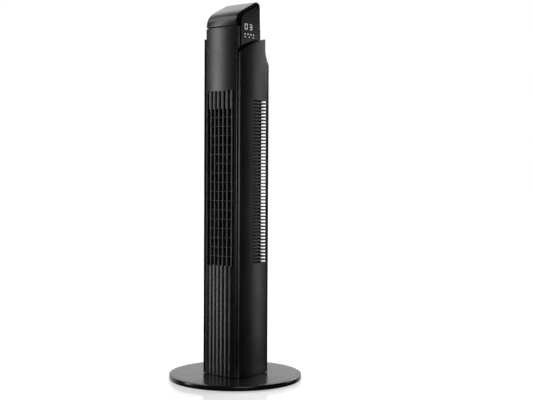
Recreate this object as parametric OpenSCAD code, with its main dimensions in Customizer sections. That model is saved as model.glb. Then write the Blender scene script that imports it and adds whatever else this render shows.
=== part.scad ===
// Oscillating tower fan: a slim column with a cross-flow blower on a round base.
// +Z is up, the origin is the centre of the base on the floor, the air leaves
// towards -Y and the display looks towards +X.

/* [Base] */
// Diameter of the round base
base_d = 320; // [260:5:400]
// Height of the base above the floor, feet included
base_h = 13; // [12:0.5:20]
// Wall of the base disc
base_wall = 2.5; // [2:0.25:3.5]
// Width of the bevel round the top edge of the base
base_bevel = 1.2; // [0.5:0.1:2]
// How far the rubber feet stand below the base
foot_proud = 1.5; // [1:0.25:3]
// Diameter of a rubber foot
foot_d = 18; // [10:1:24]
// Number of rubber feet
foot_count = 6; // [4:1:8]

/* [Column] */
// Height of the whole fan
total_h = 906; // [800:1:1100]
// Width of the column over its side panels
column_w = 121; // [110:1:150]
// Reach of the front panel's crown ahead of the swivel axis
front_reach = 60; // [58:1:72]
// Reach of the rear cover's crown behind the swivel axis
rear_reach = 57.5; // [52:0.5:75]
// Gap between the base and the column
column_gap = 1.2; // [0.8:0.1:3]
// Wall of the column's shells
shell_wall = 2.5; // [2:0.1:3]
// Clearance between shells that meet
shell_gap = 0.3; // [0.2:0.05:0.6]
// Width of the front panel
front_w = 98; // [88:1:106]
// Width of the dark groove beside the front panel
groove_w = 4; // [2:0.25:5]
// Height of the smooth upper part of the front panel
crown_panel_h = 150; // [100:5:200]

/* [Outlet grille] */
// Height of the outlet grille
grille_h = 414; // [300:2:440]
// Width of the grille opening
grille_w = 83; // [80:1:88]
// Distance from one fin to the next
fin_pitch = 13.1; // [11:0.1:14]
// Thickness of a fin
fin_t = 4; // [3:0.25:5]
// Width of the broad land at the top of each fin
land_w = 8; // [6:0.25:9]
// Height of the broad lands
land_h = 43; // [20:1:60]
// Number of fins
fin_count = 6; // [4:1:6]
// Distance from one cross wire to the next
wire_pitch = 22; // [16:1:30]

/* [Vents] */
// Height of one vent slot
slot_h = 5; // [3:0.25:5.5]
// Distance from one vent slot to the next
slot_pitch = 8; // [7:0.25:12]
// Length of a side vent slot
side_slot_l = 57.5; // [40:1:60]

/* [Head] */
// Height of the glossy head above the front panel
head_h = 65; // [55:1:80]
// Width of the head
head_w = 97; // [88:1:104]
// Depth of the display window in the head's side
lens_depth = 1.7; // [1:0.1:2.5]
// Height of the digits
digit_h = 12; // [8:0.5:20]

/* [Blower] */
// Diameter of the cross-flow wheel
wheel_d = 72; // [60:1:76]
// Number of blades
blade_count = 24; // [16:2:36]
// Diameter of the motor
motor_d = 72; // [60:1:80]
// Diameter of the motor shaft
shaft_d = 6; // [5:0.5:8]

/* [Swivel] */
// Diameter of the fixed stem
stem_d = 40; // [34:1:44]
// Radial running clearance of the column on the stem
swivel_fit = 0.05; // [0.03:0.01:0.1]
// Gear module
gear_m = 1; // [1:0.25:1]
// Teeth of the fixed gear
gear_teeth = 48; // [46:1:52]
// Teeth of the pinion
pinion_teeth = 12; // [12:1:14]

/* [Hidden] */

// Colours
black = [0.05, 0.05, 0.055];
gloss = [0.02, 0.02, 0.024];
graphite = [0.12, 0.12, 0.13];
steel = [0.7, 0.71, 0.73];
amber = [0.72, 0.52, 0.25];
green = [0.07, 0.28, 0.15];
lit = [0.95, 0.97, 1];
nylon = [0.85, 0.85, 0.82];

// Facets: large arcs, ordinary rounds and hidden small rounds
fine = 240;
round_fn = 64;
small_fn = 32;
// A cut runs this far past the face that it opens
past = 1;

// Plan of the column: radii of its four bulged faces
front_r = 320;
rear_r = 500;
side_r = 340;
front_cy = front_r - front_reach;
rear_cy = rear_reach - rear_r;
side_cx = column_w / 2 - side_r;
// The side panels run between these two Y values
side_front_y = -(front_reach - 4.7);
side_rear_y = rear_reach - 7.5;
// X where a side panel starts, beyond the groove
side_x = front_w / 2 + groove_w;

// Heights
column_z = base_h + column_gap;
seam_z = total_h - head_h;
grille_top = seam_z - crown_panel_h;
grille_bottom = grille_top - grille_h;
side_top_front = seam_z - 60;
side_top_plain = seam_z - 24;
side_top_rear = seam_z - 22;

// Front panel: the ribs stand this far ahead of the valleys between them
rib_depth = 3.5;
rib_r = 7.4;
return_y = -46.5;
// A flange of the front panel closes the groove behind the side panel's edge
flange_x = side_x + 1.1;
fin_inset = 3;
fin_back = 10.5;
land_inset = 0.3;
wire_t = 1.6;
wire_front = rib_depth + shell_wall + shell_gap;
rail_h = 9;

// Shoulder of the rear cover behind the head
neck_y = 38;
shoulder_top = side_top_rear - 24;
shoulder_bottom = shoulder_top - 60;

// Head
head_rear_y = 34.5;
head_front_y = -front_reach;
head_slope = 0.48;
head_rear_r = 15;
head_front_r = 35;
head_skirt_z = side_top_front - 12;
head_corner_r = 5;
head_notch_y = return_y + shell_gap;

// Vents: the slots stand between these two heights
vent_bottom = grille_bottom + 5;
vent_count = floor((grille_h - 30) / slot_pitch) + 1;
side_slot_y0 = -9;
rear_slot_x0 = 3;
rear_slot_x1 = 49;

// Finger pocket in the rear cover
pocket_w = 80;
pocket_h = 36;
pocket_z = grille_top + 3;
pocket_depth = 26;
pocket_wall = 2;
pocket_r = 6;

// Air duct
deck_t = 3;
deck_inset = 12;
lower_deck_z = grille_bottom - 9;
upper_deck_z = grille_top - 15;
duct_wall = 2;
wheel_y = 4;
wheel_gap = 9;
wheel_z = lower_deck_z + deck_t + wheel_gap;
wheel_h = upper_deck_z - wheel_gap - wheel_z;
wheel_rings = 7;
ring_t = 2;
blade_t = 1.2;
blade_depth = 9;
hub_r = 9;
hub_h = 12;

// Motor, hung under the lower deck
motor_gap = 6;
motor_h = 54;
motor_top = lower_deck_z - motor_gap;
motor_z = motor_top - motor_h;
motor_wall = 1.5;
shaft_r = shaft_d / 2;
bush_r = 7;
bush_h = 8;
run_fit = 0.05;
rotor_r = 18;
air_gap = 0.6;
mount_pcd = motor_d + 12;
motor_head_r = 3.4;
motor_head_h = 2;

// Swivel stack
stem_r = stem_d / 2;
stem_bore_r = stem_r - 7;
hub_flange_r = 42;
hub_flange_h = 4;
washer_h = 1.2;
collar_wall = 6;
collar_h = 16;
hat_t = 3;
hat_z = base_h + hub_flange_h + washer_h;
shoulder_z = hat_z + collar_h + shell_gap;
neck_r = stem_r - 3;
retainer_h = 2.5;
gear_h = 6;
gear_z = shoulder_z + retainer_h;
clip_h = 1;
stem_top = gear_z + gear_h + clip_h + 1.5;
gear_r = gear_m * gear_teeth / 2;
pinion_r = gear_m * pinion_teeth / 2;
mesh_play = 0.15;
pinion_y = gear_r + pinion_r + mesh_play;
osc_shaft_r = 2.5;
osc_motor_r = 14;
osc_motor_h = 19;
bracket_z = gear_z + gear_h + 3;
bracket_t = 2;

// Cord inlet
inlet_z = column_z + 24;
inlet_plate = 26;
inlet_bore_r = 3.75;
inlet_boss_r = 6.5;

// ---------------------------------------------------------------- functions

// Y of the front arc at x, shifted back by `inset`
function front_y(x, inset = 0) = front_cy - sqrt(pow(front_r - inset, 2) - x * x);

// Y of the rear arc at x
function rear_y(x, inset = 0) = rear_cy + sqrt(pow(rear_r - inset, 2) - x * x);

// Corner i of a counter-clockwise outline of [x, y, radius], moved in by `inset`
function corner(c, i) = [c[i][0], c[i][1]];
function along(c, i) =
    let (step = corner(c, (i + 1) % len(c)) - corner(c, i)) step / norm(step);
function corner_centre(c, i, inset) =
    let (u = along(c, (i + len(c) - 1) % len(c)), w = along(c, i))
    corner(c, i) + inset * (w - u) / cross(u, w);

// Outline with its corners rounded by their radii, moved in by `inset`
function rounded(c, inset = 0, steps = 10) = [
    for (i = [0 : len(c) - 1])
        let (
            u = along(c, (i + len(c) - 1) % len(c)),
            w = along(c, i),
            r = max(c[i][2] - inset, 0),
            centre = corner_centre(c, i, r + inset),
            turn = atan2(cross(u, w), u * w),
            start = atan2(-u[0], u[1])
        )
        for (k = [0 : (r > 0 ? steps : 0)])
            let (a = start + turn * k / steps)
            centre + (r > 0 ? r * [cos(a), sin(a)] : [0, 0])
];

// Cubic curve through a, drawn by b and c, to d
function cubic(a, b, c, d, t) =
    pow(1 - t, 3) * a + 3 * pow(1 - t, 2) * t * b + 3 * (1 - t) * t * t * c + t * t * t * d;

// Outline of a strip of thickness t on both sides of a path
function path_dir(p, i) =
    let (
        before = i > 0 ? (p[i] - p[i - 1]) / norm(p[i] - p[i - 1]) : undef,
        after = i < len(p) - 1 ? (p[i + 1] - p[i]) / norm(p[i + 1] - p[i]) : undef,
        sum = is_undef(before) ? after : is_undef(after) ? before : before + after
    )
    sum / norm(sum);
function path_side(p, i, d) =
    let (v = path_dir(p, i), first = p[min(i + 1, len(p) - 1)] - p[max(i, 0)],
        seg = i < len(p) - 1 ? first / norm(first) : v)
    p[i] + d / max(0.3, v * seg) * [-v[1], v[0]];
function strip(p, t) = concat(
    [for (i = [0 : len(p) - 1]) path_side(p, i, -t / 2)],
    [for (i = [len(p) - 1 : -1 : 0]) path_side(p, i, t / 2)]);

// Involute gear outline, thinned by `play` on each flank
function flank(m, z, play, steps = 5) =
    let (
        pitch = m * z / 2,
        base = pitch * cos(20),
        tip = pitch + m * 0.95,
        root = pitch - m * 1.25,
        start = max(base, root),
        pitch_roll = sqrt(pow(pitch / base, 2) - 1) * 180 / PI,
        half = 90 / z - play / pitch * 180 / PI,
        shift = half + pitch_roll - atan(pitch_roll * PI / 180)
    )
    [for (k = [0 : steps])
        let (
            r = start + (tip - start) * k / steps,
            roll = sqrt(max(pow(r / base, 2) - 1, 0)) * 180 / PI,
            a = shift - (roll - atan(roll * PI / 180))
        )
        [r, a]];
function gear_outline(m, z, play) =
    let (side = flank(m, z, play), root = m * z / 2 - m * 1.25, n = len(side))
    [for (i = [0 : z - 1])
        let (mid = 360 * i / z)
        each concat(
            [[root, mid - side[0][1]]],
            [for (k = [0 : n - 1]) [side[k][0], mid - side[k][1]]],
            [for (k = [n - 1 : -1 : 0]) [side[k][0], mid + side[k][1]]],
            [[root, mid + side[0][1]]])];
function polar(list) = [for (p = list) p[0] * [cos(p[1]), sin(p[1])]];

// ---------------------------------------------------------------- helpers

module ring(r_out, r_in, h, fn = round_fn) {
    difference() {
        cylinder(r = r_out, h = h, $fn = fn);
        translate([0, 0, -past]) cylinder(r = r_in, h = h + 2 * past, $fn = fn);
    }
}

module around(count, radius, start = 0) {
    for (i = [0 : count - 1])
        rotate(start + 360 * i / count) translate([radius, 0, 0]) children();
}

// Region between two insets of the front arc, |x| < w/2
module front_band(near, far, w) {
    intersection() {
        difference() {
            translate([0, front_cy]) circle(r = front_r - near, $fn = fine);
            translate([0, front_cy]) circle(r = front_r - far, $fn = fine);
        }
        translate([-w / 2, -front_reach - past]) square([w, front_reach]);
    }
}

// Whole plan of the column, moved in by `inset`
module column_plan(inset = 0) {
    intersection() {
        translate([0, front_cy]) circle(r = front_r - inset, $fn = fine);
        translate([0, rear_cy]) circle(r = rear_r - inset, $fn = fine);
        translate([side_cx, 0]) circle(r = side_r - inset, $fn = fine);
        translate([-side_cx, 0]) circle(r = side_r - inset, $fn = fine);
    }
}

// Side view of the column in Y and Z, from the rising top edge round the shoulder
function shoulder(t, inset = 0) =
    cubic([neck_y - inset, shoulder_top], [neck_y - inset, shoulder_top - 20],
        [rear_reach - inset, shoulder_bottom + 30], [rear_reach - inset, shoulder_bottom], t);
function top_edge(t, front_z = side_top_front) =
    let (
        a = [side_front_y, front_z],
        d = [neck_y, side_top_rear],
        rise = side_top_rear - front_z
    )
    cubic(a, a + [26, 0.47 * rise], d - [34, 0.16 * rise], d, t);

// Solid with the side view as its section, wide enough for the whole column
module side_view(w, front_z = side_top_front) {
    rotate([90, 0, 90])
        translate([0, 0, -w / 2])
            linear_extrude(w)
                polygon(concat(
                    [[rear_reach + past, column_z - past], [rear_reach + past, shoulder_bottom]],
                    [for (k = [14 : -1 : 0]) shoulder(k / 14)],
                    [for (k = [12 : -1 : 0]) top_edge(k / 12, front_z)],
                    [[side_front_y - past, front_z - 0.7],
                        [side_front_y - past, column_z - past]]));
}

// Panhead screw: the head rests on z = 0 and the shank points to -Z
module screw(head_r, head_h, shank_r, shank_l) {
    union() {
        difference() {
            cylinder(r = head_r, h = head_h, $fn = small_fn);
            for (a = [0, 90])
                rotate(a) translate([-head_r * 0.6, -0.4, head_h * 0.5])
                    cube([head_r * 1.2, 0.8, head_h]);
        }
        translate([0, 0, -shank_l]) cylinder(r = shank_r, h = shank_l, $fn = small_fn);
    }
}

// ---------------------------------------------------------------- base

cover_r = base_d / 2 - base_wall - shell_gap;
cover_t = 2;
cover_z = foot_proud;
cover_screw_r = base_d / 2 - 42;
foot_ring_r = base_d / 2 - 16;
foot_seat = 0.8;
weight_out = base_d / 2 - 30;
weight_in = 62;
boss_r = 5;
hub_screw_r = 34;
hub_screw_count = 4;

module base_disc() {
    plate_z = base_h - base_wall;
    color(black)
    difference() {
        union() {
            rotate_extrude($fn = fine)
                polygon([
                    [0, plate_z], [base_d / 2 - base_wall, plate_z],
                    [base_d / 2 - base_wall, foot_proud], [base_d / 2 - 0.8, foot_proud],
                    [base_d / 2, foot_proud + 0.8], [base_d / 2, base_h - base_bevel],
                    [base_d / 2 - base_bevel, base_h], [0, base_h]]);
            around(foot_count, cover_screw_r, 30)
                translate([0, 0, cover_z + cover_t])
                    cylinder(r = boss_r, h = plate_z - cover_z - cover_t + past / 2, $fn = small_fn);
        }
        around(foot_count, cover_screw_r, 30)
            translate([0, 0, cover_z]) cylinder(r = 1.4, h = base_h - base_wall - 1, $fn = small_fn);
        around(hub_screw_count, hub_screw_r, 45)
            cylinder(r = 2.2, h = base_h + past, $fn = small_fn);
    }
}

module base_weight() {
    z = cover_z + cover_t + shell_gap;
    color(graphite)
    translate([0, 0, z])
    difference() {
        ring(weight_out, weight_in, base_h - base_wall - shell_gap - z, fine);
        around(foot_count, cover_screw_r, 30)
            translate([0, 0, -past]) cylinder(r = boss_r + 0.6, h = base_h, $fn = small_fn);
    }
}

module base_cover() {
    color(black)
    translate([0, 0, cover_z])
    difference() {
        cylinder(r = cover_r, h = cover_t, $fn = fine);
        around(foot_count, cover_screw_r, 30)
            translate([0, 0, -past]) cylinder(r = 1.8, h = cover_t + 2 * past, $fn = small_fn);
        around(foot_count, foot_ring_r)
            translate([0, 0, -past])
                cylinder(r = foot_d / 2 + 0.2, h = past + foot_seat, $fn = round_fn);
        around(hub_screw_count, hub_screw_r, 45)
            translate([0, 0, -past]) cylinder(r = 4.4, h = cover_t + 2 * past, $fn = small_fn);
    }
}

module rubber_feet() {
    color(graphite)
    around(foot_count, foot_ring_r)
        rotate_extrude($fn = round_fn)
            polygon([[0, 0], [foot_d / 2 - 0.6, 0], [foot_d / 2, 0.6],
                [foot_d / 2, cover_z + foot_seat], [0, cover_z + foot_seat]]);
}

module base_screws() {
    color(steel)
    around(foot_count, cover_screw_r, 30)
        translate([0, 0, cover_z]) mirror([0, 0, 1])
            screw(2.6, 1.2, 1.3, base_h - base_wall - cover_z - 1.5);
}

module swivel_hub() {
    color(nylon)
    difference() {
        union() {
            translate([0, 0, base_h]) cylinder(r = hub_flange_r, h = hub_flange_h, $fn = fine);
            translate([0, 0, base_h]) cylinder(r = stem_r, h = shoulder_z - base_h, $fn = fine);
            translate([0, 0, shoulder_z]) cylinder(r = neck_r, h = stem_top - shoulder_z, $fn = fine);
            // two keys that stop the gear and the retainer from turning
            for (a = [90, 270])
                rotate(a) translate([neck_r - 1, -2, shoulder_z])
                    cube([2.5, 4, gear_z + gear_h - shoulder_z]);
        }
        translate([0, 0, base_h - past])
            cylinder(r = stem_bore_r, h = stem_top, $fn = round_fn);
        around(hub_screw_count, hub_screw_r, 45)
            translate([0, 0, base_h - past])
                cylinder(r = 1.7, h = hub_flange_h - 0.6 + past, $fn = small_fn);
        translate([0, 0, gear_z + gear_h])
            ring(neck_r + past, neck_r - 1, clip_h, fine);
    }
}

module hub_screws() {
    color(steel)
    around(hub_screw_count, hub_screw_r, 45)
        translate([0, 0, base_h - base_wall]) mirror([0, 0, 1])
            screw(4, 2, 1.65, base_wall + hub_flange_h - 1);
}

module swivel_washer() {
    color(lit)
    translate([0, 0, base_h + hub_flange_h])
        ring(hub_flange_r - 4, stem_r + 0.4, washer_h, fine);
}

module key_slots(h) {
    for (a = [90, 270])
        rotate(a) translate([neck_r - 2, -2.1, -past]) cube([3.7, 4.2, h + 2 * past]);
}

module retainer_ring() {
    color(steel)
    translate([0, 0, shoulder_z])
    difference() {
        ring(stem_r + collar_wall - 1, neck_r + run_fit, retainer_h, fine);
        key_slots(retainer_h);
    }
}

module fixed_gear() {
    color(nylon)
    translate([0, 0, gear_z])
    difference() {
        linear_extrude(gear_h) polygon(polar(gear_outline(gear_m, gear_teeth, mesh_play / 2)));
        translate([0, 0, -past])
            cylinder(r = neck_r + run_fit, h = gear_h + 2 * past, $fn = fine);
        key_slots(gear_h);
    }
}

module circlip() {
    color(steel)
    translate([0, 0, gear_z + gear_h])
    difference() {
        ring(neck_r + 2, neck_r - 1 + run_fit, clip_h - run_fit, fine);
        translate([-3, -neck_r - 3, -past]) cube([6, 8, clip_h + 2 * past]);
    }
}

// ---------------------------------------------------------------- column shells

foot_t = 3;
hat_r = hub_flange_r + 5;
foot_screw_x = 30;
foot_screw_y = rear_reach - 12;

module foot_plate() {
    color(black)
    difference() {
        union() {
            translate([0, 0, column_z])
                linear_extrude(foot_t) column_plan(shell_wall + rib_depth + shell_gap);
            translate([0, 0, column_z])
                cylinder(r = hat_r, h = hat_z + hat_t - column_z, $fn = fine);
            translate([0, 0, hat_z])
                cylinder(r = stem_r + collar_wall, h = collar_h, $fn = fine);
        }
        translate([0, 0, column_z - past])
            cylinder(r = hub_flange_r + 1.5, h = hat_z - column_z + past, $fn = fine);
        translate([0, 0, column_z - past])
            cylinder(r = stem_r + swivel_fit, h = collar_h + hat_z, $fn = fine);
        for (sx = [-1, 1])
            translate([sx * foot_screw_x, foot_screw_y, column_z - past])
                cylinder(r = 1.4, h = foot_t + 2 * past, $fn = small_fn);
        // notches for the side returns of the front panel
        for (sx = [-1, 1])
            translate([sx > 0 ? front_w / 2 - shell_wall - shell_gap : -column_w / 2,
                -front_reach, column_z - past])
                cube([column_w / 2 - front_w / 2 + shell_wall + shell_gap,
                    front_reach + return_y + shell_gap, foot_t + 2 * past]);
    }
}

module foot_screws() {
    color(steel)
    for (sx = [-1, 1])
        translate([sx * foot_screw_x, foot_screw_y, column_z + foot_t])
            screw(2.4, 1.4, 1.3, foot_t - 0.4);
}

module front_panel() {
    span = (fin_count - 1) / 2;
    flange_z = column_z + foot_t + shell_gap;
    color(black)
    difference() {
        union() {
            // smooth shell from the grille's lower edge to the seam
            translate([0, 0, grille_bottom])
                linear_extrude(seam_z - grille_bottom) front_band(0, shell_wall, front_w);
            // ribbed shell below the grille
            translate([0, 0, column_z])
                linear_extrude(grille_bottom - column_z + 0.01)
                    union() {
                        front_band(rib_depth, rib_depth + shell_wall, front_w);
                        difference() {
                            front_band(0, rib_depth + shell_wall, front_w);
                            front_band(-past, rib_depth + shell_wall + past, grille_w);
                        }
                        intersection() {
                            front_band(0, rib_depth + 1, front_w);
                            union()
                                for (i = [-span : span])
                                    translate([i * fin_pitch, front_y(i * fin_pitch) + rib_r])
                                        circle(r = rib_r, $fn = round_fn);
                        }
                    }
            // side returns
            for (sx = [-1, 1])
                translate([0, 0, column_z])
                    linear_extrude(seam_z - column_z)
                        intersection() {
                            column_plan();
                            translate([sx > 0 ? front_w / 2 - shell_wall : -front_w / 2,
                                -front_reach])
                                square([shell_wall, front_reach + return_y]);
                        }
            // flanges that close the two grooves
            for (sx = [-1, 1])
                translate([sx > 0 ? front_w / 2 - shell_wall : -flange_x,
                    return_y - shell_wall, flange_z])
                    cube([flange_x - front_w / 2 + shell_wall, shell_wall,
                        side_top_front - 4 - flange_z]);
        }
        translate([-grille_w / 2, -front_reach - past, grille_bottom])
            cube([grille_w, 14, grille_h]);
    }
}

module outlet_grille() {
    span = (fin_count - 1) / 2;
    inner_w = front_w - 2 * shell_wall - 2 * shell_gap;
    wires = floor((grille_h - land_h - 20) / wire_pitch) + 1;
    color(black)
    union() {
        // fins
        translate([0, 0, grille_bottom + shell_gap])
            linear_extrude(grille_h - 2 * shell_gap)
                intersection() {
                    front_band(fin_inset, fin_back, grille_w - 2 * shell_gap);
                    union()
                        for (i = [-span : span])
                            translate([i * fin_pitch - fin_t / 2, -front_reach])
                                square([fin_t, front_reach]);
                }
        // broad lands at the top
        translate([0, 0, grille_top - land_h])
            linear_extrude(land_h - shell_gap)
                intersection() {
                    front_band(land_inset, fin_back, grille_w - 2 * shell_gap);
                    union()
                        for (i = [-span : span])
                            translate([i * fin_pitch - land_w / 2, -front_reach])
                                square([land_w, front_reach]);
                }
        // rails behind the panel, above and below the opening
        for (z = [grille_bottom - rail_h + 1, grille_top - 1])
            translate([0, 0, z]) linear_extrude(rail_h) front_band(wire_front, fin_back, inner_w);
        // side rails
        translate([0, 0, grille_bottom - rail_h + 1])
            linear_extrude(grille_h + 2 * rail_h - 2)
                difference() {
                    front_band(wire_front, fin_back, inner_w);
                    front_band(wire_front - 1, fin_back + 1, grille_w - 2);
                }
        // cross wires
        for (i = [0 : wires - 1])
            translate([0, 0, grille_bottom + wire_pitch * (i + 1) - wire_t / 2])
                linear_extrude(wire_t) front_band(fin_back - 2, fin_back, inner_w);
    }
}

// Plan of a side panel's outer block
module side_panel_block() {
    chamfer = 3;
    difference() {
        intersection() {
            translate([side_cx, 0]) circle(r = side_r, $fn = fine);
            translate([side_x, side_front_y]) square([column_w, side_rear_y - side_front_y]);
        }
        // bevel along the front edge
        polygon([
            [side_x + 1, side_front_y - past], [side_x + 1 + chamfer * 2, side_front_y - past],
            [side_x + 1 + chamfer * 2, side_front_y + chamfer * 2],
            [side_x + 1 + chamfer * 1.3, side_front_y + chamfer * 1.3]]);
    }
}

// Plan of the hollow behind a side panel's face
module side_panel_hollow() {
    intersection() {
        translate([side_cx, 0]) circle(r = side_r - shell_wall, $fn = fine);
        translate([side_x - past, side_front_y + shell_wall]) square([column_w, column_w]);
    }
}

module side_slots() {
    for (i = [0 : vent_count - 1])
        translate([0, side_slot_y0, vent_bottom + i * slot_pitch])
            cube([column_w, side_slot_l, slot_h]);
}

// The right panel dips at the front to show the display; the left one stays high
module side_panel(sx, front_z) {
    color(black)
    mirror([sx > 0 ? 0 : 1, 0, 0])
    difference() {
        intersection() {
            translate([0, 0, column_z])
                linear_extrude(side_top_rear + 10 - column_z) side_panel_block();
            side_view(column_w + 20, front_z);
        }
        // the hollow stops short of the top edge and the shoulder, which leaves a lip
        intersection() {
            translate([0, 0, column_z - past])
                linear_extrude(side_top_rear + 10 - column_z) side_panel_hollow();
            translate([0, -shell_wall, -shell_wall]) side_view(column_w + 30, front_z);
        }
        side_slots();
    }
}

module side_panel_right() { side_panel(1, side_top_front); }
module side_panel_left() { side_panel(-1, side_top_plain); }

module rear_slots() {
    for (i = [0 : vent_count - 1])
        for (sx = [-1, 1])
            translate([sx > 0 ? rear_slot_x0 : -rear_slot_x1, rear_reach - 14,
                vent_bottom + i * slot_pitch])
                cube([rear_slot_x1 - rear_slot_x0, 20, slot_h]);
}

module pocket_plan(inset, y0, y1) {
    w = pocket_w / 2 - inset;
    z0 = pocket_z + inset;
    z1 = pocket_z + pocket_h - inset;
    r = pocket_r - inset;
    translate([0, y1, 0]) rotate([90, 0, 0])
        linear_extrude(y1 - y0)
            polygon(rounded([[-w, z0, r], [w, z0, r], [w, z1, r], [-w, z1, r]], 0, 6));
}

screw_seat = 1.2;
screw_spots = [[-44, column_z + 12], [44, column_z + 12], [-44, vent_bottom - 20],
    [44, vent_bottom - 20], [-46, grille_top + 20], [46, grille_top + 20]];

// Section of the shoulder: its outer curve and the same curve one wall further in
shoulder_sheet = concat(
    [[neck_y - shell_wall, side_top_rear - 0.5], [neck_y - shell_wall, shoulder_top]],
    [for (k = [1 : 13]) shoulder(k / 14, shell_wall)],
    [[rear_reach - shell_wall - 1.5, shoulder_bottom], [rear_reach - 0.1, shoulder_bottom]],
    [for (k = [13 : -1 : 1]) shoulder(k / 14)],
    [[neck_y, shoulder_top], [neck_y, side_top_rear - 0.5]]);

module rear_cover() {
    inner_x = side_x - shell_gap;
    lip_y = side_rear_y + shell_gap;
    color(black)
    difference() {
        union() {
            // rear wall and its two corners
            intersection() {
                translate([0, 0, column_z])
                    linear_extrude(shoulder_top - column_z)
                        difference() {
                            intersection() {
                                column_plan();
                                translate([-column_w, lip_y]) square([2 * column_w, 20]);
                            }
                            column_plan(shell_wall);
                        }
                side_view(column_w + 20);
            }
            // shoulder behind the head, between the lips of the side panels
            intersection() {
                rotate([90, 0, 90])
                    translate([0, 0, -column_w / 2])
                        linear_extrude(column_w) polygon(shoulder_sheet);
                linear_extrude(total_h)
                    intersection() {
                        column_plan();
                        union() {
                            translate([-inner_x, 0]) square([2 * inner_x, rear_reach]);
                            translate([-column_w, lip_y]) square([2 * column_w, 20]);
                        }
                    }
            }
        }
        rear_slots();
        pocket_plan(0, rear_reach - 20, rear_reach + 10);
        translate([-inlet_plate / 2, rear_reach - 10, inlet_z - inlet_plate / 2])
            cube([inlet_plate, 20, inlet_plate]);
        for (s = screw_spots)
            translate([s[0], rear_y(s[0]), s[1]]) rotate([90, 0, 0])
                union() {
                    translate([0, 0, -past]) cylinder(r = 1.6, h = 12, $fn = small_fn);
                    translate([0, 0, -3]) cylinder(r = 3.5, h = 3 + screw_seat, $fn = small_fn);
                }
    }
}

module rear_screws() {
    color(steel)
    for (s = screw_spots)
        translate([s[0], rear_y(s[0]) - screw_seat, s[1]]) rotate([-90, 0, 0])
            screw(3, 1.6, 1.5, 9);
}

module handle_recess() {
    back = rear_reach - pocket_depth - pocket_wall;
    color(black)
    intersection() {
        difference() {
            pocket_plan(-pocket_wall, back, rear_reach);
            pocket_plan(shell_gap, back + pocket_wall, rear_reach + past);
        }
        translate([0, rear_cy, 0])
            cylinder(r = rear_r - shell_wall - 0.1, h = total_h, $fn = fine);
    }
}

module cord_inlet() {
    plate = inlet_plate - 2 * shell_gap;
    y = rear_reach - 4.5;
    color(graphite)
    difference() {
        union() {
            translate([-plate / 2, y, inlet_z - plate / 2]) cube([plate, 3, plate]);
            translate([0, y - 7, inlet_z]) rotate([-90, 0, 0])
                cylinder(r = inlet_boss_r, h = 12, $fn = round_fn);
        }
        translate([0, y - 20, inlet_z]) rotate([-90, 0, 0])
            cylinder(r = inlet_bore_r, h = 40, $fn = round_fn);
    }
}

// ---------------------------------------------------------------- head

slope_run = 1 / sqrt(1 + head_slope * head_slope);
// The sloping roof line meets the rear line at this height
head_peak_z = total_h + head_rear_r * (1 / slope_run + head_slope - 1);
function roof_z(y) = head_peak_z - head_slope * (head_rear_y - y);
head_outline = [
    [head_front_y, head_skirt_z, 0], [head_rear_y, head_skirt_z, 0],
    [head_rear_y, roof_z(head_rear_y), head_rear_r],
    [head_front_y, roof_z(head_front_y), head_front_r]];

// Display window: parallel to the roof, with a cut rear corner
lens_front_y = head_front_y + 19.5;
lens_rear_y = head_rear_y - 6;
lens_bottom = head_skirt_z + 17;
lens_drop = 10.6;
lens_outline = [
    [lens_front_y, lens_bottom, 1], [lens_rear_y, lens_bottom, 1],
    [lens_rear_y, roof_z(lens_rear_y) - lens_drop - 13.5, 2],
    [lens_rear_y - 11.5, roof_z(lens_rear_y - 11.5) - lens_drop, 3],
    [lens_front_y, roof_z(lens_front_y) - lens_drop, 30]];

// Prism of a side-view outline between x0 and x1
module side_prism(outline, x0, x1) {
    translate([x0, 0, 0]) rotate([90, 0, 90]) linear_extrude(x1 - x0) polygon(outline);
}

module head_plan(inset) {
    half = head_w / 2 - inset;
    rear = head_rear_y - inset;
    intersection() {
        translate([0, front_cy]) circle(r = front_r - inset, $fn = fine);
        polygon(rounded([[-half, -front_reach - 5, 0], [half, -front_reach - 5, 0],
            [half, rear, head_corner_r], [-half, rear, head_corner_r]], 0, 8));
    }
}

module head_solid(inset, floor_z) {
    intersection() {
        translate([0, 0, floor_z]) linear_extrude(total_h + 20 - floor_z) head_plan(inset);
        side_prism(rounded(head_outline, inset, 14), -head_w, head_w);
    }
}

module head_cap() {
    color(gloss)
    difference() {
        head_solid(0, head_skirt_z);
        head_solid(shell_wall, head_skirt_z - 10);
        // open front below the seam, where the front panel stands
        translate([-head_w, -front_reach - 20, head_skirt_z - past])
            cube([2 * head_w, front_reach + 20 + head_notch_y, seam_z - head_skirt_z + past]);
        // window of the display
        side_prism(rounded(lens_outline, 0, 8), head_w / 2 - lens_depth, head_w);
        // ledge that the lens rests on, open behind the board
        side_prism(rounded(lens_outline, 3, 8), head_w / 2 - 10, head_w);
    }
}

lens_t = 1;
lens_x = head_w / 2 - lens_depth;

module display_lens() {
    color(gloss)
    difference() {
        side_prism(rounded(lens_outline, 0.15, 8), lens_x, lens_x + lens_t);
        translate([lens_x - past, 0, 0]) lit_windows(0.05, lens_t + 2 * past);
        translate([lens_x - past, 0, 0]) icon_windows(0.05, lens_t + 2 * past);
    }
}

// Seven-segment figures, drawn in Y and Z
digit_w = 8.6;
seg_t = 1.2;
digit_z = seam_z - 4;
digit_y = [-26, -9];
shown = [[1, 1, 1, 1, 1, 1, 0], [1, 1, 1, 1, 0, 0, 1]];

// Bar between two points with pointed ends, grown by `grow`
function bar(a, b, t) =
    let (u = (b - a) / norm(b - a), n = [-u[1], u[0]] * t / 2, e = u * t / 2)
    [a, a + e + n, b - e + n, b, b - e - n, a + e - n];

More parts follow.
